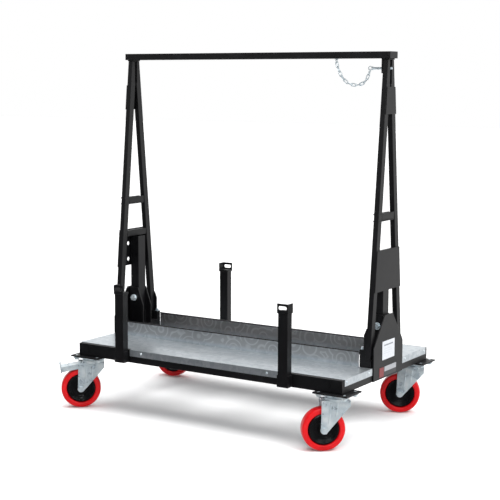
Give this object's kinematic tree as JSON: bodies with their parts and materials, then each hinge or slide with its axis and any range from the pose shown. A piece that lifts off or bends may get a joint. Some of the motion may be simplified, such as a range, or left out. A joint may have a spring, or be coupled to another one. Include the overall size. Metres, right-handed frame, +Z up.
{
  "type": "board trolley",
  "caption": "Wheeled trolley for plasterboard: a box-section base with galvanised trays, upright frames at its ends under a top bar, lift-out posts, a chained locking pin and swivel castors.",
  "frame": {"origin": "on the ground under the middle of the object's box", "axes": "+X along the trolley towards the end with the locking pin, +Y across it, +Z up"},
  "size_m": [1.3248, 0.8092, 1.423],
  "materials": {
    "black_powder": "satin",
    "galvanised": "satin",
    "zinc_plate": "satin",
    "red_tyre": "satin",
    "black_hub": "matte",
    "edge_trim": "matte",
    "label": "satin"
  },
  "bodies": {
    "trolley": {"near_side_rail": "black_powder", "far_side_rail": "black_powder", "left_end_rail": "black_powder", "right_end_rail": "black_powder", "cross_members": "black_powder", "near_tray": "galvanised", "far_tray": "galvanised", "tray_rivets": "zinc_plate", "tray_edge_trims": "edge_trim", "left_end_plate": "black_powder", "right_end_plate": "black_powder", "white_label": "label", "lower_label": "label", "left_foot": "black_powder", "right_foot": "black_powder", "left_legs": "black_powder", "right_legs": "black_powder", "left_rungs": "black_powder", "right_rungs": "black_powder", "left_plates": "black_powder", "right_plates": "black_powder", "left_mast": "black_powder", "right_mast": "black_powder", "clamp_bolts": "zinc_plate", "top_bar": "black_powder", "bar_end_caps": "black_powder", "chain_eye": "zinc_plate", "chain": "zinc_plate", "post_sockets": "black_powder", "castor_pads": "black_powder", "castor_bolts": "zinc_plate", "near_left_top_plate": "zinc_plate", "near_right_top_plate": "zinc_plate", "far_left_top_plate": "zinc_plate", "far_right_top_plate": "zinc_plate"},
    "near_left_castor": {"near_left_fork": "zinc_plate", "near_left_axle": "zinc_plate"},
    "near_left_wheel": {"near_left_hub": "black_hub", "near_left_tyre": "red_tyre"},
    "near_left_post_body": {"near_left_post": "black_powder"},
    "near_right_castor": {"near_right_fork": "zinc_plate", "near_right_axle": "zinc_plate"},
    "near_right_wheel": {"near_right_hub": "black_hub", "near_right_tyre": "red_tyre"},
    "near_right_post_body": {"near_right_post": "black_powder"},
    "far_left_castor": {"far_left_fork": "zinc_plate", "far_left_axle": "zinc_plate"},
    "far_left_wheel": {"far_left_hub": "black_hub", "far_left_tyre": "red_tyre"},
    "far_left_post_body": {"far_left_post": "black_powder"},
    "far_right_castor": {"far_right_fork": "zinc_plate", "far_right_axle": "zinc_plate"},
    "far_right_wheel": {"far_right_hub": "black_hub", "far_right_tyre": "red_tyre"},
    "far_right_post_body": {"far_right_post": "black_powder"},
    "near_left_brake": {"near_left_pedal": "zinc_plate"},
    "pin": {"locking_pin": "zinc_plate"}
  },
  "joints": [
    {"name": "near_left_swivel", "type": "hinge", "parent": "trolley", "child": "near_left_castor", "pos_m": [-0.53259, -0.29571, 0.187], "axis": [0, 0, 1], "continuous": true},
    {"name": "near_left_roll", "type": "hinge", "parent": "near_left_castor", "child": "near_left_wheel", "pos_m": [-0.57089, -0.32785, 0.08], "axis": [-0.6428, 0.766, 0], "continuous": true},
    {"name": "near_left_post_lift", "type": "slide", "parent": "trolley", "child": "near_left_post_body", "axis": [0, 0, 1], "range_m": [0, 0.055]},
    {"name": "near_left_brake_press", "type": "hinge", "parent": "near_left_castor", "child": "near_left_brake", "pos_m": [-0.57396, -0.33042, 0.18], "axis": [0.6428, -0.766, 0], "range_deg": [0, 12]},
    {"name": "near_right_swivel", "type": "hinge", "parent": "trolley", "child": "near_right_castor", "pos_m": [0.59141, -0.29571, 0.187], "axis": [0, 0, 1], "continuous": true},
    {"name": "near_right_roll", "type": "hinge", "parent": "near_right_castor", "child": "near_right_wheel", "pos_m": [0.55311, -0.32785, 0.08], "axis": [-0.6428, 0.766, 0], "continuous": true},
    {"name": "near_right_post_lift", "type": "slide", "parent": "trolley", "child": "near_right_post_body", "axis": [0, 0, 1], "range_m": [0, 0.055]},
    {"name": "far_left_swivel", "type": "hinge", "parent": "trolley", "child": "far_left_castor", "pos_m": [-0.53259, 0.33429, 0.187], "axis": [0, 0, 1], "continuous": true},
    {"name": "far_left_roll", "type": "hinge", "parent": "far_left_castor", "child": "far_left_wheel", "pos_m": [-0.58183, 0.3256, 0.08], "axis": [-0.1736, 0.9848, 0], "continuous": true},
    {"name": "far_left_post_lift", "type": "slide", "parent": "trolley", "child": "far_left_post_body", "axis": [0, 0, 1], "range_m": [0, 0.055]},
    {"name": "far_right_swivel", "type": "hinge", "parent": "trolley", "child": "far_right_castor", "pos_m": [0.59141, 0.33429, 0.187], "axis": [0, 0, 1], "continuous": true},
    {"name": "far_right_roll", "type": "hinge", "parent": "far_right_castor", "child": "far_right_wheel", "pos_m": [0.54573, 0.31395, 0.08], "axis": [-0.4067, 0.9135, 0], "continuous": true},
    {"name": "far_right_post_lift", "type": "slide", "parent": "trolley", "child": "far_right_post_body", "axis": [0, 0, 1], "range_m": [0, 0.055]},
    {"name": "pin_pull", "type": "slide", "parent": "trolley", "child": "pin", "axis": [-1, 0, 0], "range_m": [0, 0.03], "deforming": ["chain"]}
  ]
}
